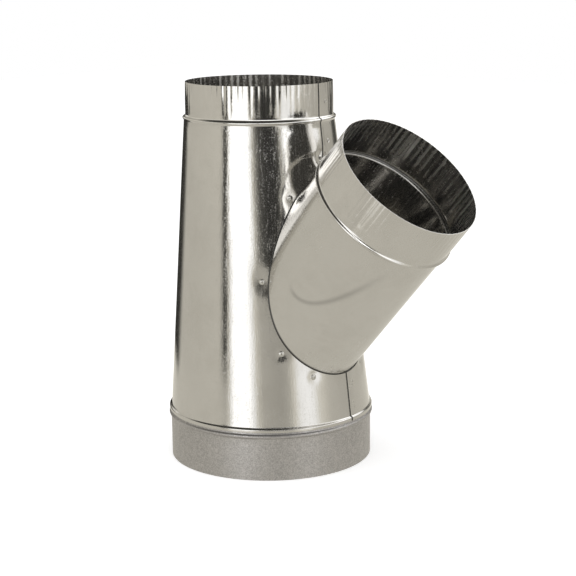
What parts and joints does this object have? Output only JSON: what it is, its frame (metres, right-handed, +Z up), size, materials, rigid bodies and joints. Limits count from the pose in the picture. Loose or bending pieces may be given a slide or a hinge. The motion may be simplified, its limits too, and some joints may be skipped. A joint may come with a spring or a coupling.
{
  "type": "duct y branch",
  "caption": "Tapered galvanised duct fitting with a plain base collar, a crimped spigot on top and a slanted crimped branch riveted to its side.",
  "frame": {"origin": "centre of the base collar's open rim", "axes": "+Z up the duct from the large end to the small end, +X to the side of the branch, +Y completes the right hand"},
  "size_m": [0.3343, 0.2084, 0.3791],
  "materials": {
    "collar_sheet": "dull galvanised",
    "run_sheet": "bright galvanised",
    "branch_sheet": "bright galvanised",
    "rivet": "plain"
  },
  "bodies": {
    "root": {"base_collar": "collar_sheet", "run_body": "run_sheet", "branch_pipe": "branch_sheet", "saddle_rivets": "rivet"}
  },
  "joints": []
}
